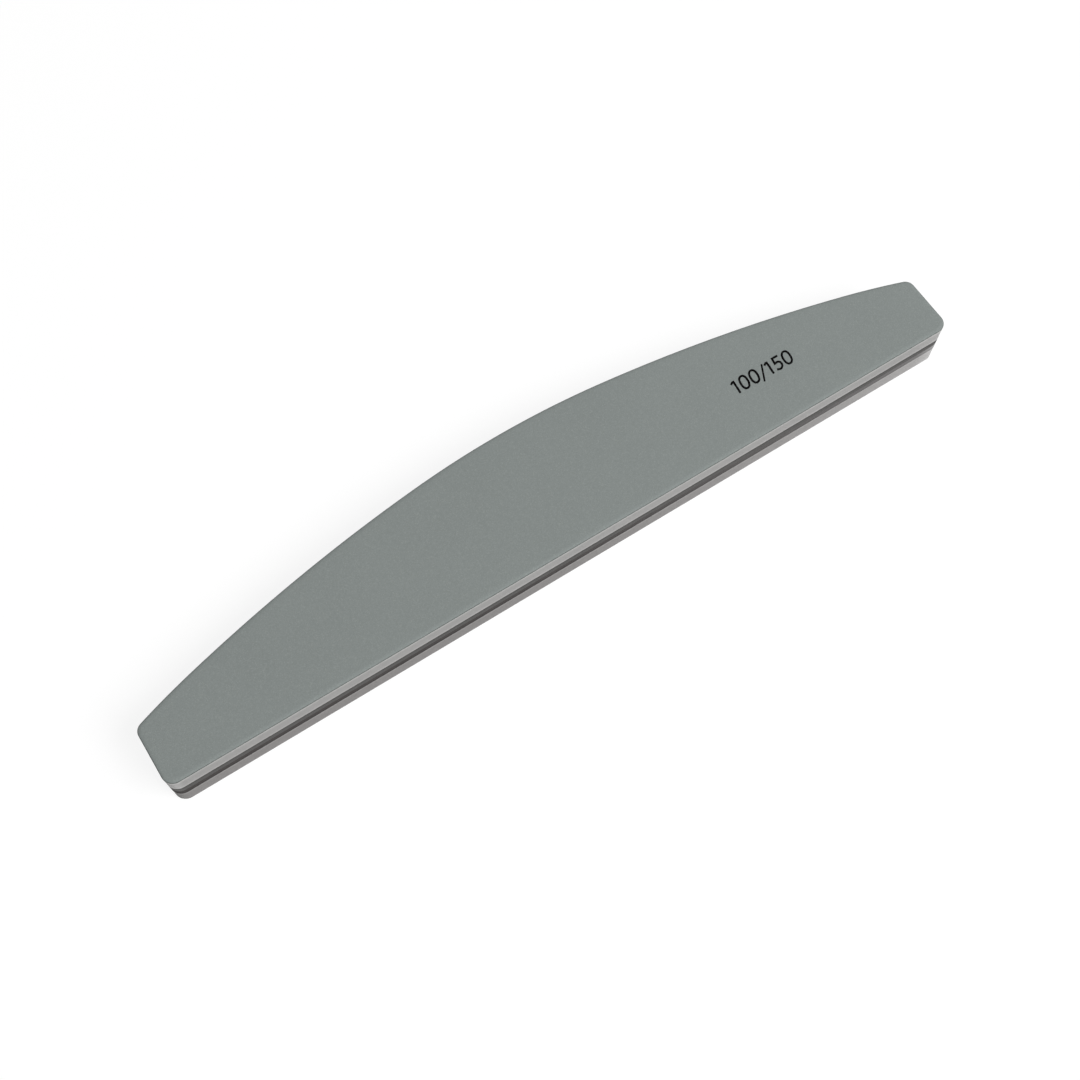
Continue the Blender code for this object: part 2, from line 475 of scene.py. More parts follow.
# %% [markdown]
# A filled and subdivided outline would have uneven squares towards the ends, and the grain needs even
# ones. So a grid cap is a Coons patch: the points between four border curves are the sum of two rulings,
# from foot to head and from left to right, less the ruling of the four corners. Its border is the last
# ring of the band itself, so the seam is closed by construction, and only the inner points are new.

# %% A grid across the loop


def coons(low, high, left, right):
    """Blend of four borders: lofted one way, plus the other way, less the bilinear patch of the corners."""
    u = np.linspace(0, 1, len(low))[None, :, None]
    v = np.linspace(0, 1, len(left))[:, None, None]
    up = (1 - v) * low[None] + v * high[None]
    over = (1 - u) * left[:, None] + u * right[:, None]
    corners = (1 - v) * ((1 - u) * low[0] + u * low[-1]) + v * ((1 - u) * high[0] + u * high[-1])
    return up + over - corners


def grid_cap(loop, rings):
    """New points inside the top ring of a band, and the quads that join them to it, facing up."""
    top = np.arange(len(loop.points)) + (len(rings) - 1) * len(loop.points)
    patch = coons(*loop.frame_of(rings[-1]))
    number = np.empty(patch.shape[:2], int)
    number[0], number[-1], number[:, 0], number[:, -1] = loop.frame_of(top)
    inner = patch[1:-1, 1:-1].reshape(-1, 3)
    fresh = rings.shape[0] * rings.shape[1] + np.arange(len(inner))
    number[1:-1, 1:-1] = fresh.reshape(len(patch) - 2, -1)
    quads = np.stack([number[:-1, :-1], number[:-1, 1:], number[1:, 1:], number[1:, :-1]], -1)
    return inner, quads.reshape(-1, 4)


middle = coons(*loop.frame_of(loop.points))[TEST_ROWS // 2, loop.columns // 2]
print("the middle of a patch over the loop is", middle.round(2))

# %% [markdown]
# The arrays become an object here. A mesh could be filled point by point, but from_pydata and foreach_set
# take it whole, which is faster and shorter. Every finished piece stays at the origin, unturned and
# unscaled, with its place in its mesh. Its faces are smooth shaded, apart from edges sharper than an
# angle, and it rides on the buffer's body.

# %% Arrays to a piece
SHARP = math.radians(40)


def piece(name, points, faces, finish, turned=False, border=None):
    """A mesh object on the body root, from points in mm and blocks of quads or triangles. Turned reverses
    the faces of a mirrored shape. A mask from 0 to 1 for each point, if given, becomes the attribute
    border, which a material can read."""
    blocks = [block[:, ::-1] if turned else block for block in faces]
    mesh = bpy.data.meshes.new(name)
    mesh.from_pydata(points * MM, [], [face for block in blocks for face in block.tolist()])
    mesh.shade_smooth()
    mesh.set_sharp_from_angle(angle=SHARP)
    mesh.materials.append(finish)
    if border is not None:
        mesh.attributes.new("border", "FLOAT", "POINT").data.foreach_set("value", border.astype(np.float32))
    made = bpy.data.objects.new(name, mesh)
    bpy.context.scene.collection.objects.link(made)
    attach(made, "root")
    print(name, "has", sum(len(block) * (len(block[0]) - 2) for block in blocks), "triangles")
    return made


# %% [markdown]
# Nature's unevenness comes from a lattice. A random generator could place each grain, but a finer grid
# would then give another pattern. Each lattice cell gets numbers that look random and are always the
# same, the fraction of a stretched sine. Smooth noise blends the four numbers round a point. Bubbles and
# grains need one random point a cell, and how far the nearest and the second nearest of them lie.

# %% Lattice noise
TURN_PER_CELL = (127.1, 311.7)  # of the sine, across and up
TURN_PER_SEED = 74.7
STRETCH = 43758.5453        # of the sine, before its fraction is taken
BEYOND = 9.0                # farther than any nearest point, in cells
OPEN = 1e9                  # cells before x closes, where it never does


def scatter(i, j, seed):
    """From 0 to 1 for each lattice cell: the fraction of a stretched sine of its numbers and the seed."""
    turn = i * TURN_PER_CELL[0] + j * TURN_PER_CELL[1] + seed * TURN_PER_SEED
    return np.modf(np.abs(np.sin(turn)) * STRETCH)[0]


def smooth_noise(x, y, cell, seed):
    """Four lattice numbers blended with 3 t^2 - 2 t^3 in both directions. Cell is its size across and up."""
    x = x / cell[0]
    y = y / cell[1]
    i, j = np.floor(x), np.floor(y)
    s, t = (3 * (p - q) ** 2 - 2 * (p - q) ** 3 for p, q in ((x, i), (y, j)))
    low = scatter(i, j, seed) * (1 - s) + scatter(i + 1, j, seed) * s
    high = scatter(i, j + 1, seed) * (1 - s) + scatter(i + 1, j + 1, seed) * s
    return low * (1 - t) + high * t


def nearest_two(x, y, cell, seed, around=None):
    """Distances, in cells, to the two nearest of one random point a cell. At the length around, x closes."""
    count = OPEN if around is None else round(around / cell)
    x = x / cell if around is None else x * count / around
    y = y / cell
    i, j = np.floor(x), np.floor(y)
    first = np.full(np.broadcast(x, y).shape, BEYOND)
    second = first.copy()
    for di, dj in [(a, b) for a in (-1, 0, 1) for b in (-1, 0, 1)]:
        ci, cj = (i + di) % count, j + dj
        px = i + di + scatter(ci, cj, seed)
        py = cj + scatter(ci, cj, seed + 1)
        gap = np.hypot(x - px, y - py)
        second = np.minimum(second, np.maximum(first, gap))
        first = np.minimum(first, gap)
    return first, second


sample = nearest_two(np.linspace(0, 9, 400), np.linspace(0, 9, 400), 1.0, 3)[0]
print("mean distance to the nearest point is", sample.mean().round(2), "cells")

# %% [markdown]
# The cut presses the rim of each face down a little before it parts. The abrasive, the paper, its glue
# and the top of the pad all follow, one nested in the other. A bevel on each would round them apart. One
# formula serves them all: a parabola, steepest at the very rim, that runs out with no slope where the
# flat face starts.

# %% The rolled rim
ROLL_WIDTH = 0.9
ROLL_DROP = 0.2


def roll(inset, face_height):
    """Face height less the drop times (1 - inset / width) squared, for insets up to the roll's width."""
    left = np.clip(1 - np.asarray(inset) / ROLL_WIDTH, 0, 1)
    return face_height - ROLL_DROP * left**2


print("at the rim the roll slopes", round(math.degrees(math.atan(2 * ROLL_DROP / ROLL_WIDTH))), "degrees")

# %% [markdown]
# The lower half is the upper half upside down. A Mirror modifier would copy its grain and bubbles too,
# and no real pad repeats another. So each layer is worked out as if it lay in the upper half, with
# heights that grow away from the core, and the lower ones are turned over at the end: heights change sign
# and faces change their order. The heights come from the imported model's own layer.

# %% Heights of a layer


def inner_and_outer(node):
    """The layer's heights in mm, core side first, negated in the lower half, and whether it lies there."""
    low, high = (corner.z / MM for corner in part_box(node))
    lower = node.endswith("150")
    return (-high, -low, True) if lower else (low, high, False)


def turn_over(points, lower):
    """Upper-half points as they are, or with their heights negated for the lower half."""
    return points * (1, 1, -1) if lower else points


print("foam_pad_100 runs from", [round(float(h), 3) for h in inner_and_outer("foam_pad_100")[:2]], "mm")

# %% [markdown]
# Four effects are shared by several finishes, so each is a node group: dry grain for the abrasive and the
# paper, cut cells for foam and board, a slow drift of tone for everything that was mixed, coated or
# foamed, and painted light, a paleness on the cut edges. The nodes could be repeated in every material,
# but a group is written once and changed once. It gives out colours and heights only, and the shader
# stays in the material.

# %% Node groups


def new_group(name, inputs, outputs):
    """An empty group. Inputs are name: (socket type, default), and outputs are name: socket type."""
    group = bpy.data.node_groups.new(name, "ShaderNodeTree")
    for title, (kind, value) in inputs.items():
        group.interface.new_socket(name=title, in_out="INPUT", socket_type=kind).default_value = value
    for title, kind in outputs.items():
        group.interface.new_socket(name=title, in_out="OUTPUT", socket_type=kind)
    return group, group.nodes.new("NodeGroupInput").outputs, group.nodes.new("NodeGroupOutput").inputs


def per_metre(tree, size_mm):
    """The scale of a texture whose features are size_mm apart, on coordinates in metres: 1000 / size_mm."""
    return calc(tree, "DIVIDE", 1 / MM, size_mm)


def around_one(tree, amount):
    """The two ends of an even spread, 1 - amount and 1 + amount."""
    return calc(tree, "SUBTRACT", 1.0, amount), calc(tree, "ADD", 1.0, amount)


COLOUR, NUMBER = "NodeSocketColor", "NodeSocketFloat"
WHITE = (1.0, 1.0, 1.0, 1.0)
print("a group's sockets are", COLOUR, "and", NUMBER)

# %% [markdown]
# Dry grain. Every grain of the abrasive sits in its own dot of resin. An image of sandpaper could show
# that, but it blurs close up and repeats. A Voronoi pattern does neither: each of its cells gets its own
# tone, and a few per cent of them are broken open and show paler. The height is a dome over each cell.

# %% Dry grain group


def dry_grain():
    """Tone per cell: colour times 1 - contrast to 1 + contrast. A share of the cells are specks instead.
    Height: another random number less the distance to the cell's point."""
    group, given, out = new_group(
        "dry_grain",
        {"Color": (COLOUR, WHITE), "Speck": (COLOUR, WHITE), "Size mm": (NUMBER, 0.2),
         "Contrast": (NUMBER, 0.1), "Share": (NUMBER, 0.05)},
        {"Color": COLOUR, "Height": NUMBER},
    )
    place = add(group, "TexCoord").outputs["Object"]
    cells = add(group, "TexVoronoi", [("Vector", place), ("Scale", per_metre(group, given["Size mm"]))])
    chance = add(group, "SeparateColor", [(0, cells.outputs["Color"])]).outputs
    tone = ramp(group, chance[0], 0.0, 1.0, *around_one(group, given["Contrast"]))
    toned = scaled(group, given["Color"], tone)
    broken = calc(group, "GREATER_THAN", chance[1], calc(group, "SUBTRACT", 1.0, given["Share"]))
    dome = calc(group, "SUBTRACT", chance[2], cells.outputs["Distance"])
    group.links.new(blend(group, broken, toned, given["Speck"]), out["Color"])
    group.links.new(dome, out["Height"])
    return group


GRAIN = dry_grain()
print("made", GRAIN.name)

# %% [markdown]
# Cut cells. A knife through foam leaves a net of thin walls round shallow bowls. Plain noise would look
# like cloth or stone instead. The distance to the edge of a Voronoi cell is small on the walls and large
# in the bowls, and a smooth step turns it into a mask.

# %% Cut cell group


def cut_cells():
    """Bowl mask: a smooth step from 0 on the cell walls to 1 at the wall's breadth. Colour: the bowl's where
    the mask is 1. Height: 1 less the mask."""
    group, given, out = new_group(
        "cut_cells",
        {"Color": (COLOUR, WHITE), "Bowl": (COLOUR, WHITE), "Size mm": (NUMBER, 0.3),
         "Wall": (NUMBER, 0.2)},
        {"Color": COLOUR, "Height": NUMBER},
    )
    place = add(group, "TexCoord").outputs["Object"]
    cells = add(group, "TexVoronoi", [("Vector", place), ("Scale", per_metre(group, given["Size mm"]))],
                feature="DISTANCE_TO_EDGE")
    bowl = ramp(group, cells.outputs["Distance"], 0.0, given["Wall"], smooth=True)
    group.links.new(blend(group, bowl, given["Color"], given["Bowl"]), out["Color"])
    group.links.new(calc(group, "SUBTRACT", 1.0, bowl), out["Height"])
    return group


CELLS = cut_cells()
print("made", CELLS.name)

# %% [markdown]
# Slow drift. Nothing coated or foamed is one even tone: it wanders by a per cent or two over centimetres.
# That could be painted on, but soft noise does it by itself, on every piece and without a seam.

# %% Slow drift group
CLOUD_SPAN = (0.3, 0.7)     # nearly all of the noise lies between these


def slow_drift():
    """Colour times 1 - amount to 1 + amount, by two octaves of noise with features of the given size."""
    group, given, out = new_group(
        "slow_drift",
        {"Color": (COLOUR, WHITE), "Size mm": (NUMBER, 20.0), "Amount": (NUMBER, 0.02)},
        {"Color": COLOUR},
    )
    place = add(group, "TexCoord").outputs["Object"]
    cloud = add(group, "TexNoise", [("Vector", place), ("Scale", per_metre(group, given["Size mm"])),
                                    ("Detail", 2.0)])
    tone = ramp(group, cloud.outputs[0], *CLOUD_SPAN, *around_one(group, given["Amount"]))
    group.links.new(scaled(group, given["Color"], tone), out["Color"])
    return group


DRIFT = slow_drift()
print("made", DRIFT.name)

# %% [markdown]
# Painted light. In the picture the lower half of the cut grows paler towards the right end, foam and
# board by the same amount, while the upper half keeps its tone, apart from a pale place round the left
# heel. No lamp could reach one half only, so this light is painted into the colour: a little is added
# along the straight edge, more round the right heel, and none on the arc. No lamp could reach one half
# only, and one picture can't tell what lies on it. The left heel gets a painted paleness of its own.

# %% Painted light group
# All values below shape painted light, the paleness added to the colour, in mm along and across.
PAINTED_LIGHT_SPAN = (-89.0, 89.0)   # mm along the length, where the haze starts and where it is whole
PAINTED_LIGHT_POWER = 4.0            # how late it comes in
PAINTED_LIGHT_MOST = 0.13            # what it adds to a linear colour at the right end
RIGHT_HEEL_LIGHT_SPAN = (80.0, 87.0)   # round the right heel it is stronger
HEEL_LIGHT_POWER = 3.0
HEEL_LIGHT_MOST = 0.14
LEFT_HEEL_LIGHT_SPAN = (-86.0, -88.2)  # the left heel has a paleness of its own
FRONT = (0.0, -9.0)         # across the width the haze comes in here, so the arc stays clear


def rise(tree, place, span, smooth=False):
    """From 0 at the first place of a span to 1 at its second, both in mm."""
    return ramp(tree, place, span[0] * MM, span[1] * MM, smooth=smooth)


def painted_pale_light():
    """Painted light: colour plus a sum of three, times a smooth step over the front: most times t to a power
    along the length, the same with values of its own at the right heel, and left times a smooth step at the
    left."""
    group, given, out = new_group(
        "painted_pale_light",
        {"Color": (COLOUR, WHITE), "Most": (NUMBER, PAINTED_LIGHT_MOST), "Heel": (NUMBER, HEEL_LIGHT_MOST),
         "Left": (NUMBER, 0.0)},
        {"Color": COLOUR},
    )
    place = add(group, "SeparateXYZ", [(0, add(group, "TexCoord").outputs["Object"])])
    along, across = place.outputs[0], place.outputs[1]
    late = calc(group, "POWER", rise(group, along, PAINTED_LIGHT_SPAN), PAINTED_LIGHT_POWER)
    heel = calc(group, "POWER", rise(group, along, RIGHT_HEEL_LIGHT_SPAN), HEEL_LIGHT_POWER)
    left = rise(group, along, LEFT_HEEL_LIGHT_SPAN, smooth=True)
    total = calc(group, "MULTIPLY", late, given["Most"])
    total = calc(group, "MULTIPLY_ADD", heel, given["Heel"], total)
    total = calc(group, "MULTIPLY_ADD", left, given["Left"], total)
    painted_light = calc(group, "MULTIPLY", total, rise(group, across, FRONT, smooth=True))
    summed = add(group, "VectorMath", [(0, given["Color"]), (1, painted_light)], operation="ADD")
    group.links.new(summed.outputs[0], out["Color"])
    return group


PAINTED_LIGHT_GROUP = painted_pale_light()
print("made", PAINTED_LIGHT_GROUP.name)

# %% [markdown]
# Every finish here is dry and takes no polish, so all start the same: a Principled shader with a
# roughness and a low specular level, set on its own sockets, and a Bump node that turns a height into a
# normal. Displacement would move the surface itself, but it needs a far finer mesh, and relief of a
# hundredth of a millimetre never shows in the outline.

# %% A dry finish to build on


def group_node(tree, group, **values):
    """One of the shared groups in a material, with its values or wires by socket name. In Python a name
    can't hold a space, so Size_mm stands for the socket Size mm."""
    node = tree.nodes.new("ShaderNodeGroup")
    node.node_tree = group
    for key, value in values.items():
        socket = node.inputs[key.replace("_mm", " mm")]
        if isinstance(value, bpy.types.NodeSocket):
            tree.links.new(value, socket)
        else:
            socket.default_value = value
    return node


def dry_material(name, roughness, specular):
    """A new material and its tree, with the constants set on the Principled shader."""
    finish = bpy.data.materials.new(name)
    finish.use_nodes = True
    shader = finish.node_tree.nodes["Principled BSDF"]
    shader.inputs["Roughness"].default_value = roughness
    shader.inputs["Specular IOR Level"].default_value = specular
    return finish, finish.node_tree, shader


def connect(tree, shader, colour, height, depth_mm):
    """Wires a colour to the shader, and a height through a Bump node whose full step is depth_mm."""
    bump = add(tree, "Bump", [("Height", height), ("Distance", depth_mm * MM)])
    tree.links.new(colour, shader.inputs["Base Color"])
    tree.links.new(bump.outputs[0], shader.inputs["Normal"])


print("the finishes share", [group.name for group in (GRAIN, CELLS, DRIFT, PAINTED_LIGHT_GROUP)])

# %% [markdown]
# Where two layers meet, their cut edges change tone within a millimetre: glue soaks into the board and
# darkens it, and closes the foam's bubbles, which makes it paler. A texture would have to be lined up
# with each wall. A mask on the points is lined up by itself, as the attribute border: on a board beside
# its pad, on the upper pad along both borders, and on the lower pad beside the core. This turns it into a
# factor on the colour.

# %% Tone along a border
BORDER_REACH = 0.8          # mm


def near_border(height, low=-math.inf, high=math.inf):
    """One on the given borders of a wall, falling in a straight line to nothing at BORDER_REACH from them."""
    return np.clip(1 - np.minimum(height - low, high - height) / BORDER_REACH, 0, 1)


def border_tone(tree, tone):
    """A factor of 1 that becomes tone where the attribute border is 1."""
    border = add(tree, "Attribute", attribute_name="border")
    return ramp(tree, border.outputs["Fac"], 0.0, 1.0, 1.0, tone)


print("masks halfway:", near_border(np.array([0.0, 0.25, 1.0]), 0, 2))

# %% [markdown]
# The abrasive coat. Grit in a grey-green resin, topped with a dry size coat that keeps it from clogging.
# From a step away it is one even tone, close up it is a fine speckle. The whole grain could be a bump,
# but then the face would be dead flat in a low view. So the larger grains are real geometry, domes of
# random place, and what is finer is left to the bump. The coarse face has larger grains than the fine
# one.

# %% Abrasive finish
FACE_COLOUR = (134, 140, 138)
SPECK_COLOUR = (142, 148, 145)
# The darker colour along the rim: partly the resin of the cut, partly painted shade.
CUT_AND_SHADE_COLOUR = (70, 77, 75)


def abrasive_finish(name, grain_mm, contrast, depth_mm):
    """Slow drift, then dry grain with its domes as bump, mixed along the rim with a darker colour that is
    partly the resin of the cut and partly painted shade.
    """
    finish, tree, shader = dry_material(name, roughness=0.9, specular=0.05)
    drift = group_node(tree, DRIFT, Color=linear(*FACE_COLOUR), Size_mm=14.0, Amount=0.012)
    grain = group_node(tree, GRAIN, Color=drift.outputs[0], Speck=linear(*SPECK_COLOUR), Size_mm=grain_mm,
                       Contrast=contrast, Share=0.08)
    border = add(tree, "Attribute", attribute_name="border")
    # Along the rim: the resin of the cut, and painted shade where the rim turns away from the softbox.
    cut = blend(tree, border.outputs["Fac"], grain.outputs["Color"], linear(*CUT_AND_SHADE_COLOUR))
    connect(tree, shader, cut, grain.outputs["Height"], depth_mm)
    return finish


coarse_finish = abrasive_finish("abrasive_coat_100", grain_mm=0.15, contrast=0.06, depth_mm=0.008)
fine_finish = abrasive_finish("abrasive_coat_150", grain_mm=0.11, contrast=0.045, depth_mm=0.006)
print("face colour in linear light:", [round(c, 3) for c in linear(*FACE_COLOUR)[:3]])

# %% [markdown]
# The coat's own section starts under the face, follows the roll out to the rim, climbs the cut edge,
# turns over it with a small round, and follows the roll back in. A Bevel modifier could add that round
# later, but a profile holds it from the start. The round matters: with a darker colour it is the hairline
# that frames the face in the picture, partly the resin of the cut and partly painted shade. The line is
# broader on the arc and the ends, which turn away from the softbox, than on the straight edge.

# %% Section of the coat
EDGE_ROUND = 0.12
EDGE_STEPS = 4
UNDER_INSETS = (1.0, 0.6, 0.3, 0.0)
OVER_INSETS = (0.24, 0.34, 0.44, 0.56, 0.7, 0.84, 1.0)


def coat_profile(inner, outer):
    """Under the face outwards, up the cut, round the edge by a quarter circle, and over the face inwards."""
    under = [(inset, roll(inset, inner + ROLL_DROP)) for inset in UNDER_INSETS]
    turn = np.linspace(0, math.pi / 2, EDGE_STEPS + 1)
    inset = EDGE_ROUND * (1 - np.cos(turn))
    rounded = roll(inset, outer) - EDGE_ROUND * (1 - np.sin(turn))
    over = [(inset, roll(inset, outer)) for inset in OVER_INSETS]
    return np.array(under + list(zip(inset, rounded)) + over)


print("the coat's section has", len(coat_profile(*inner_and_outer("abrasive_coat_100")[:2])), "points")

# %% [markdown]
# Each face is one closed piece: the band, a ladder underneath, and the grid on top. Stones could be
# scattered over it one by one, but tens of thousands of them would weigh the file down for a relief of a
# few thousandths of a millimetre. Lifting the grid's own points costs nothing. The whole face lies a hair
# lower than the solid's, which leaves room for the ink of the printed figures.

# %% Abrasive faces
COAT_STEP = 0.25            # between columns
COAT_ROWS = 98
# Round the arc and the ends the dark rim reaches further in. That extra reach is painted shade on the rim
# that turns away from the softbox.
CUT_AND_SHADE_REACH = (0.25, 0.11)    # how far in the cut shows: round the arc and ends, along the straight edge
GRAIN_RELIEF = 0.003        # height of the largest dome
FACE_DIP = 0.02             # the resin between grains lies this far under the solid's face


def grain_relief(x, y, size, seed):
    """The dip, plus a dome 1 - (distance to the nearest grain)^2 that is GRAIN_RELIEF high at most."""
    nearest, _ = nearest_two(x, y, size, seed)
    return -FACE_DIP + GRAIN_RELIEF * np.clip(1 - nearest**2, 0, 1)


def abrasive_coat(node, finish, grain_mm, seed):
    """The closed coat: band, ladder underneath, and a grid on top with the grain's relief."""
    inner, outer, lower = inner_and_outer(node)
    loop = Loop(COAT_STEP, COAT_ROWS)
    profile = coat_profile(inner, outer)
    rings = band(loop, profile)
    inset = profile[:, 0]
    inside, quads = grid_cap(loop, rings)
    top = np.concatenate([rings.reshape(-1, 3), inside])
    over = np.arange(len(inset)) >= len(inset) - len(OVER_INSETS)
    grained = np.concatenate([np.repeat(over, len(loop.points)), np.ones(len(inside))])
    top[:, 2] += grained * grain_relief(top[:, 0], top[:, 1], grain_mm, seed)
    under_quads, under_fans = ladder(loop, np.arange(len(loop.points)))
    faces = [band_faces(len(rings), len(loop.points)), quads, under_quads[:, ::-1], under_fans[:, ::-1]]
    # A broader reach away from the straight edge: painted shade.
    reach = np.interp(loop.inward[:, 1], (0, 1), CUT_AND_SHADE_REACH)
    cut = np.concatenate([np.clip(1 - inset[:, None] / reach, 0, 1).ravel(), np.zeros(len(inside))])
    made = piece(node.replace("coat", "face"), turn_over(top, lower), faces, finish, lower, cut)
    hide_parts(node)
    return made


face_100 = abrasive_coat("abrasive_coat_100", coarse_finish, grain_mm=0.42, seed=11)
face_150 = abrasive_coat("abrasive_coat_150", fine_finish, grain_mm=0.34, seed=23)
print("points in the faces:", len(face_100.data.vertices), "and", len(face_150.data.vertices))

# %% [markdown]
# The foam pads. Soft closed-cell foam, cut with one stroke. One even grey would look like rubber. Real
# foam has opened bubbles that are a little darker than the walls between them, and a paler skin where
# heat and glue have closed it. So the finish puts the effects above on each other, from the slow one to
# the fine one.

# %% Foam finish
FOAM_COLOUR = (163, 162, 161)
# The lower pad's colour is a darker copy of the upper one: painted shade on the lower half.
SHADED_LOWER_FOAM_COLOUR = (143, 141, 140)
SKIN_TONE = 1.24            # how much paler the foam is where heat and glue have closed it
BOWL_TONE = 0.94            # how much darker the bowls are than the walls between them


def foam_finish(name, colour, painted_light, heel, left):
    """Colour times the skin's tone, slow drift, cut cells with slightly darker bowls, and painted light over
    all.
    """
    finish, tree, shader = dry_material(name, roughness=0.95, specular=0.02)
    skinned = scaled(tree, linear(*colour)[:3], border_tone(tree, SKIN_TONE))
    drift = group_node(tree, DRIFT, Color=skinned, Size_mm=9.0, Amount=0.015).outputs[0]
    bowl = scaled(tree, drift, BOWL_TONE)
    cells = group_node(tree, CELLS, Color=drift, Bowl=bowl, Size_mm=0.24, Wall=0.25)
    paler = group_node(tree, PAINTED_LIGHT_GROUP, Color=cells.outputs["Color"], Most=painted_light, Heel=heel, Left=left)
    connect(tree, shader, paler.outputs[0], cells.outputs["Height"], depth_mm=0.02)
    return finish


# Painted light: a little on the upper pad at both heels, most on the lower pad towards the right end.
upper_foam = foam_finish("foam_100", FOAM_COLOUR, painted_light=0.004, heel=0.05, left=0.15)
lower_foam = foam_finish("foam_150", SHADED_LOWER_FOAM_COLOUR, painted_light=PAINTED_LIGHT_MOST, heel=0.11, left=0.02)
print("made", upper_foam.name, "and", lower_foam.name)

# %% [markdown]
# The wall of a pad is straight, but close up it is a net of opened bubbles, and midway it is drawn in by
# a few hundredths of a millimetre, because the pad was pressed while it was cut. Thousands of Boolean
# spheres could cut the bubbles, slowly. Here they come from the lattice: the second distance less the
# nearest is nothing on a bubble's wall and grows towards its middle, and each point of the wall moves in
# by it.

# %% Foam pads
FOAM_STEP = 0.14
FOAM_ROWS = 58
FOAM_WALL_ROWS = 26
FOAM_UNDER = 0.2            # inset of the flat underside
FOAM_OVER_INSETS = (0.1, 0.22, 0.36, 0.54, 0.72, 1.0)
BUBBLE = 0.42
BUBBLE_DEPTH = 0.02
BUBBLE_SLOPE = 0.7          # in cells, from the bubble's wall to where it is deepest
BUBBLE_FADE = 8             # how fast bubbles come in, away from the wall's two borders
DRAWN_IN = 0.03


def foam_profile(inner, outer):
    """Flat under the pad, up the wall in even rows, and over the rolled rim that the papers rest on."""
    wall = np.linspace(inner, outer - ROLL_DROP, FOAM_WALL_ROWS)
    over = [(inset, roll(inset, outer)) for inset in FOAM_OVER_INSETS]
    return np.array([(FOAM_UNDER, inner)] + [(0, height) for height in wall] + over)


def foam_pad(node, finish, seed):
    """The closed pad. Its wall is drawn in by a half sine over the height, and by the bubbles: their depth
    grows with the second distance less the nearest, and fades to nothing at the wall's borders."""
    inner, outer, lower = inner_and_outer(node)
    loop = Loop(FOAM_STEP, FOAM_ROWS)
    profile = foam_profile(inner, outer)
    rings = band(loop, profile)
    wall = slice(1, 1 + FOAM_WALL_ROWS)
    share = ((profile[wall, 1] - inner) / (outer - ROLL_DROP - inner))[:, None]
    nearest, second = nearest_two(loop.along[None], profile[wall, 1][:, None], BUBBLE, seed, loop.length)
    hollow = BUBBLE_DEPTH * np.clip(second - nearest, 0, BUBBLE_SLOPE) / BUBBLE_SLOPE
    fade = np.clip(BUBBLE_FADE * share * (1 - share), 0, 1)
    inward = hollow * fade + DRAWN_IN * np.sin(math.pi * share)
    rings[wall, :, :2] += inward[..., None] * loop.inward[None]
    skin_ends = math.inf if lower else outer - ROLL_DROP
    skin = np.repeat(near_border(profile[:, 1], inner, skin_ends), len(loop.points))
    points = turn_over(rings.reshape(-1, 3), lower)
    made = piece(node.replace("pad", "cushion"), points, closed_faces(loop, len(rings)), finish, lower, skin)
    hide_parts(node)
    return made


cushion_100 = foam_pad("foam_pad_100", upper_foam, seed=5)
cushion_150 = foam_pad("foam_pad_150", lower_foam, seed=8)
print("points in the pads:", len(cushion_100.data.vertices), "and", len(cushion_150.data.vertices))

# %% [markdown]
# The core. Two plies of stiff dark board, glued back to back. The knife drags along them and leaves fine
# lines that run with the outline. Noise on the object's own axes would run straight on at the corners. So
# this finish follows the surface: a UV map holds the distance round the outline and the height, and the
# noise is drawn out along the first of them.

# %% Board finish
UPPER_BOARD_COLOUR = (95, 94, 93)
# The lower ply's colour is a darker copy of the upper one: painted shade on the lower half.
SHADED_LOWER_BOARD_COLOUR = (76, 73, 72)
SOAKED_TONE = 0.6           # how much darker the board is beside its glue
PORE_TONE = 0.9             # how much darker its pores are
DRAG_SCALE = (0.35, 14.0, 1.0)  # noise features a millimetre, round the outline and up


def board_finish(name, colour, painted_light, heel, left):
    """Colour times the soaked tone, drift, cut cells for the pores, and painted light over all. The bump is
    the pores plus noise that is drawn out along the outline."""
    finish, tree, shader = dry_material(name, roughness=0.8, specular=0.04)
    soaked = scaled(tree, linear(*colour)[:3], border_tone(tree, SOAKED_TONE))
    drift = group_node(tree, DRIFT, Color=soaked, Size_mm=12.0, Amount=0.02).outputs[0]
    pore = scaled(tree, drift, PORE_TONE)
    cells = group_node(tree, CELLS, Color=drift, Bowl=pore, Size_mm=0.12, Wall=0.3)
    place = add(tree, "UVMap", uv_map="round_and_up")
    drawn = add(tree, "Mapping", [("Vector", place.outputs[0]), ("Scale", DRAG_SCALE)])
    lines = add(tree, "TexNoise", [("Vector", drawn.outputs[0]), ("Scale", 1.0), ("Detail", 3.0)])
    height = calc(tree, "ADD", cells.outputs["Height"], lines.outputs[0])
    paler = group_node(tree, PAINTED_LIGHT_GROUP, Color=cells.outputs["Color"], Most=painted_light, Heel=heel, Left=left)
    connect(tree, shader, paler.outputs[0], height, depth_mm=0.012)
    return finish


# Painted light: the lower ply grows paler towards the right end and its heel, the upper one only at the left
# heel.
upper_board = board_finish("board_100", UPPER_BOARD_COLOUR, painted_light=0.0, heel=0.0, left=0.05)
lower_board = board_finish("board_150", SHADED_LOWER_BOARD_COLOUR, painted_light=PAINTED_LIGHT_MOST, heel=HEEL_LIGHT_MOST, left=0.01)
print("made", upper_board.name, "and", lower_board.name)

# %% [markdown]
# A ply is made like a pad, from a profile and two ladders. The cut eases its arrises a little, and the
# profile has them as small chamfers, so no modifier is needed. The deeper lines of the knife are geometry
# too, because light from the side picks them out. The UV map is written here, since only the loop knows
# how far each point lies along the outline.

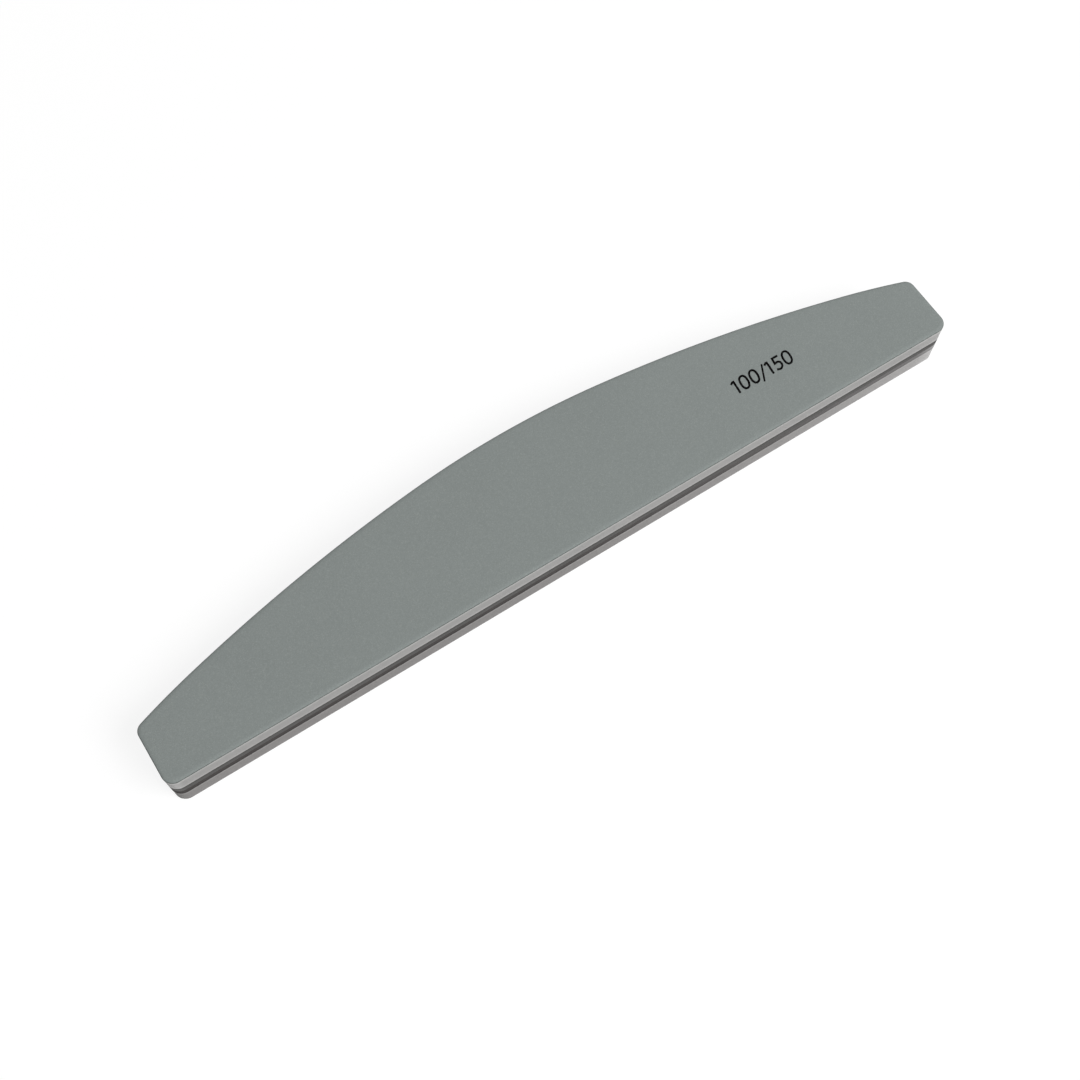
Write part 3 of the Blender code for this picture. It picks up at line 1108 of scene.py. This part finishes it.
# %% Core plies
BOARD_STEP = 0.3
BOARD_ROWS = 28
BOARD_WALL_ROWS = 22
EASED = 0.03                # chamfer of the arrises
DRAG_DEPTH = 0.008
DRAG_CELL = (6.0, 0.16)     # size of the lines, round the outline and up


def board_profile(inner, outer):
    """Flat underside, a small chamfer, the wall in even rows, the same chamfer, flat top."""
    wall = np.linspace(inner + EASED, outer - EASED, BOARD_WALL_ROWS)
    return np.array([(EASED, inner)] + [(0, height) for height in wall] + [(EASED, outer)])


def surface_map(made, loop, rings):
    """A UV map in millimetres for the band: distance round the outline, and height. The last column closes
    at the outline's full length instead of jumping back to nothing."""
    number = np.empty(len(made.data.loops), np.int32)
    made.data.loops.foreach_get("vertex_index", number)
    around = len(loop.points)
    u = loop.along[number % around]
    last = np.repeat((number[:4 * around * (rings - 1)].reshape(-1, 4) % around == around - 1).any(1), 4)
    u[:len(last)][last & (u[:len(last)] == 0)] = loop.length
    height = np.empty(len(made.data.vertices) * 3)
    made.data.vertices.foreach_get("co", height)
    layer = made.data.uv_layers.new(name="round_and_up")
    layer.data.foreach_set("uv", np.stack([u, height[2::3][number] / MM], -1).ravel())


def core_board(node, finish, seed):
    """The closed ply. Its wall is drawn in by smooth noise, long round the outline and fine in height."""
    inner, outer, lower = inner_and_outer(node)
    loop = Loop(BOARD_STEP, BOARD_ROWS)
    profile = board_profile(inner, outer)
    rings = band(loop, profile)
    wall = slice(1, 1 + BOARD_WALL_ROWS)
    scored = DRAG_DEPTH * smooth_noise(loop.along[None], profile[wall, 1][:, None], DRAG_CELL, seed)
    rings[wall, :, :2] += scored[..., None] * loop.inward[None]
    soaked = np.repeat(near_border(profile[:, 1], high=outer), len(loop.points))
    points = turn_over(rings.reshape(-1, 3), lower)
    made = piece(node.replace("ply", "board"), points, closed_faces(loop, len(rings)), finish, lower, soaked)
    surface_map(made, loop, len(rings))
    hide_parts(node)
    return made


board_100 = core_board("core_ply_100", upper_board, seed=31)
board_150 = core_board("core_ply_150", lower_board, seed=37)
print("points in the boards:", len(board_100.data.vertices), "and", len(board_150.data.vertices))

# %% [markdown]
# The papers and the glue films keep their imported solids: each shows only as a cut edge, a few hundredths
# to a fifth of a millimetre high. Fibres and drops could be modelled, but no view would show them. Paper
# is fibrous and dull, and a glue film is smoother. Both get their finish by putting a material in the
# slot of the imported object.

# %% Paper and glue finishes
PAPER_COLOUR = (182, 182, 180)
# The lower paper and lower glue colours are darker copies of the upper ones: painted shade on the lower half.
SHADED_LOWER_PAPER_COLOUR = (148, 147, 146)
GLUE_COLOUR = (178, 177, 175)
SHADED_LOWER_GLUE_COLOUR = (150, 148, 147)
SOAKED_GLUE_COLOUR = (125, 124, 122)
BOND_COLOUR = (86, 84, 83)
FIBRE_STEP = 10             # how much paler the palest fibres are
RIPPLES_PER_METRE = 900.0
GLUE_ROUGHNESS = (0.5, 0.75)


def paper_finish(name, colour, painted_light, heel):
    """Slow drift, then dry grain of about a tenth of a millimetre for the ends of the fibres, then painted
    light.
    """
    finish, tree, shader = dry_material(name, roughness=0.95, specular=0.02)
    drift = group_node(tree, DRIFT, Color=linear(*colour), Size_mm=6.0, Amount=0.03)
    speck = linear(*(tone + FIBRE_STEP for tone in colour))
    grain = group_node(tree, GRAIN, Color=drift.outputs[0], Speck=speck, Size_mm=0.08, Contrast=0.12,
                       Share=0.05)
    paler = group_node(tree, PAINTED_LIGHT_GROUP, Color=grain.outputs["Color"], Most=painted_light, Heel=heel)
    connect(tree, shader, paler.outputs[0], grain.outputs["Height"], depth_mm=0.008)
    return finish


def glue_finish(name, colour, painted_light, heel):
    """Colour with drift and painted light. One noise serves twice, as ramp to the roughness and as bump."""
    finish, tree, shader = dry_material(name, roughness=0.6, specular=0.1)
    drift = group_node(tree, DRIFT, Color=linear(*colour), Size_mm=5.0, Amount=0.06)
    place = add(tree, "TexCoord").outputs["Object"]
    ripple = add(tree, "TexNoise", [("Vector", place), ("Scale", RIPPLES_PER_METRE), ("Detail", 2.0)])
    roughness = ramp(tree, ripple.outputs[0], 0.0, 1.0, *GLUE_ROUGHNESS)
    tree.links.new(roughness, shader.inputs["Roughness"])
    paler = group_node(tree, PAINTED_LIGHT_GROUP, Color=drift.outputs[0], Most=painted_light, Heel=heel)
    connect(tree, shader, paler.outputs[0], ripple.outputs[0], depth_mm=0.01)
    return finish


# Painted light on the lower films, the lower paper and the bond, as on the pads and plies.
upper_glue = glue_finish("glue_100", GLUE_COLOUR, painted_light=0.0, heel=0.0)
lower_glue = glue_finish("glue_150", SHADED_LOWER_GLUE_COLOUR, painted_light=PAINTED_LIGHT_MOST, heel=HEEL_LIGHT_MOST)
soaked_glue = glue_finish("soaked_glue", SOAKED_GLUE_COLOUR, painted_light=0.0, heel=0.0)
thin_finishes = {
    "backing_paper_100": paper_finish("paper_100", PAPER_COLOUR, painted_light=0.0, heel=0.0),
    "paper_glue_100": upper_glue,
    "pad_glue_100": soaked_glue,
    "core_bond": glue_finish("dark_bond", BOND_COLOUR, painted_light=0.02, heel=0.05),
    "pad_glue_150": lower_glue,
    "paper_glue_150": lower_glue,
    "backing_paper_150": paper_finish("paper_150", SHADED_LOWER_PAPER_COLOUR, painted_light=PAINTED_LIGHT_MOST, heel=HEEL_LIGHT_MOST),
}
kept = [name for name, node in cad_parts.items() if not node.hide_render]
for name in kept:
    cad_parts[name].data.materials[0] = thin_finishes[name]
print("kept layers:", sorted(kept))

# %% [markdown]
# The grit mark. Plain numbers say how coarse the two faces are, in black ink, parallel to the straight
# edge near the right end. A Text object could write them, but in the shapes of its font. These figures
# have strokes of one breadth, so each is a path with a flat ribbon carried along it. At a corner the
# ribbon's two sides move out along the mitre: half the breadth over the cosine of half the turn.

# %% A ribbon along a path
INK_BREADTH = 0.47
INK_SUNK = 0.05             # how deep the ink reaches down into the coat
INK_EDGE = 0.03             # the ink thins out this near to its borders
SECTION = 6                 # points round the ribbon


def sides(path, closed):
    """Mitre directions to the left of a path, each as long as 1 over the cosine of half the turn."""
    step = np.roll(path, -1, 0) - path
    step /= np.linalg.norm(step, axis=1)[:, None]
    before = np.roll(step, 1, 0)
    if not closed:
        step[-1] = step[-2]
        before[0] = step[0]
    middle = step + before
    middle /= np.linalg.norm(middle, axis=1)[:, None]
    stretch = 1 / (middle * step).sum(1)
    return np.stack([-middle[:, 1], middle[:, 0]], -1) * stretch[:, None]


def ribbon(path, breadth, top, closed=False):
    """Points and quads of a closed strip: six section points carried along the path, lower at the borders."""
    across = np.array([-0.5, -0.5 + INK_EDGE / breadth, 0.5 - INK_EDGE / breadth, 0.5, 0.5, -0.5]) * breadth
    height = top + np.array([-INK_EDGE / 2, 0, 0, -INK_EDGE / 2, -INK_SUNK, -INK_SUNK])
    flat = path[:, None] - across[None, :, None] * sides(path, closed)[:, None]
    points = np.concatenate([flat, np.broadcast_to(height[None, :, None], (*flat.shape[:2], 1))], -1)
    count = len(path)
    i, k = np.meshgrid(np.arange(count if closed else count - 1), np.arange(SECTION), indexing="ij")
    here, there = i * SECTION, (i + 1) % count * SECTION
    beside = (k + 1) % SECTION
    faces = np.stack([here + beside, there + beside, there + k, here + k], -1).reshape(-1, 4)
    if not closed:
        ends = np.array([[0, 1, 2, 5], [2, 3, 4, 5]])
        faces = np.concatenate([faces, ends[:, ::-1], ends + (count - 1) * SECTION])
    return points.reshape(-1, 3), faces


test_points, test_faces = ribbon(np.array([(0.0, 0.0), (1.0, 0.0), (1.0, 1.0)]), 0.3, 0.0)
print("a bent ribbon has", len(test_points), "points and", len(test_faces), "faces")

# %% [markdown]
# The figures themselves, in millimetres from the foot of the first one. They could be traced point by
# point, but a formula for what is round and a few points for what is straight say the same with less. A
# nought is an oval with slightly flat sides, a one is a flag and a stem, and a five is a bar, a stem and
# a bowl. Corners that would make a long mitre are cut short by replacing one path point with two.

# %% Paths of the figures
OVAL_HALF = (0.83, 1.44)    # across and up, to the middle of the stroke
OVAL_MIDDLE = 1.62
OVAL_POWER = 2.3            # 2 is an ellipse, more is squarer
OVAL_LEAN = 0.04
OVAL_POINTS = 48
BOWL_HALF = (0.77, 0.83)
BOWL_MIDDLE = (0.62, 1.0)
BOWL_REACH = math.radians(100)  # from its rightmost point up to the stem, and down to the tail
BOWL_POINTS = 22


def nought(centre):
    """An oval |x/a|^p + |y/b|^p = 1 that leans back a little: a cosine and a sine, both to the power 2/p."""
    turn = np.linspace(0, 2 * math.pi, OVAL_POINTS, endpoint=False)
    x, y = (half * np.sign(wave) * np.abs(wave) ** (2 / OVAL_POWER)
            for half, wave in zip(OVAL_HALF, (np.cos(turn), np.sin(turn))))
    return np.stack([centre + x - OVAL_LEAN * y, OVAL_MIDDLE + y], -1)


def one(foot_x):
    """Flag, blunt apex and stem, leaning back a little."""
    return np.array([(-0.93, 2.5), (-0.42, 2.84), (-0.17, 2.84), (0.03, 0.0)]) + (foot_x, 0)


def five(left):
    """Bar from right to left, stem down, a bowl that is most of an ellipse, and a straight tail."""
    turn = np.linspace(BOWL_REACH, -BOWL_REACH, BOWL_POINTS)
    bowl = np.stack([np.cos(turn), np.sin(turn)], -1) * BOWL_HALF + BOWL_MIDDLE
    return np.concatenate([[(1.42, 2.98), (0.06, 2.98), (0.06, 1.72)], bowl, [(-0.13, 0.4)]]) + (left, 0)


def slash(foot_x):
    """One straight stroke from below the line to the top of the figures."""
    return np.array([(-0.05, -0.48), (1.15, 3.1)]) + (foot_x, 0)


print("a nought is", np.ptp(nought(0.0), axis=0).round(2), "mm between the middles of its strokes")

# %% [markdown]
# In the picture the line of figures runs parallel to the straight edge, and their stems lean to the right
# on the face. Turning each figure would tip its foot as well, so the lean is a shear: each point moves
# right by a share of its height over the foot line.

# %% Grit mark
MARK_PLACE = (43.89, -4.01)
MARK_LEAN = 0.155
SLASH_BREADTH = 0.4
INK_COLOUR = (9, 9, 9)
WORN_INK_COLOUR = (28, 29, 28)
FIGURES = (
    (one(0.0), INK_BREADTH, False), (nought(1.86), INK_BREADTH, True), (nought(4.28), INK_BREADTH, True),
    (slash(5.77), SLASH_BREADTH, False), (one(8.24), INK_BREADTH, False), (five(9.42), INK_BREADTH, False),
    (nought(12.43), INK_BREADTH, True),
)


def ink_finish():
    """Dry grain in two blacks, with its domes as bump, for matt ink that is broken by the grain under it."""
    finish, tree, shader = dry_material("printing_ink", roughness=0.85, specular=0.03)
    grain = group_node(tree, GRAIN, Color=linear(*INK_COLOUR), Speck=linear(*WORN_INK_COLOUR),
                       Size_mm=0.15, Contrast=0.2, Share=0.02)
    connect(tree, shader, grain.outputs["Color"], grain.outputs["Height"], depth_mm=0.01)
    return finish


def grit_mark():
    """All figures in one mesh of separate closed strips, sheared and moved to their place on the face."""
    points, faces, count = [], [], 0
    for path, breadth, closed in FIGURES:
        strip, quads = ribbon(path, breadth, THICKNESS, closed)
        points.append(strip)
        faces.append(quads + count)
        count += len(strip)
    points = np.concatenate(points)
    points[:, 0] += MARK_LEAN * points[:, 1] + MARK_PLACE[0]
    points[:, 1] += MARK_PLACE[1]
    return piece("grit_mark", points, faces, ink_finish())


mark = grit_mark()
print("points in the mark:", len(mark.data.vertices))
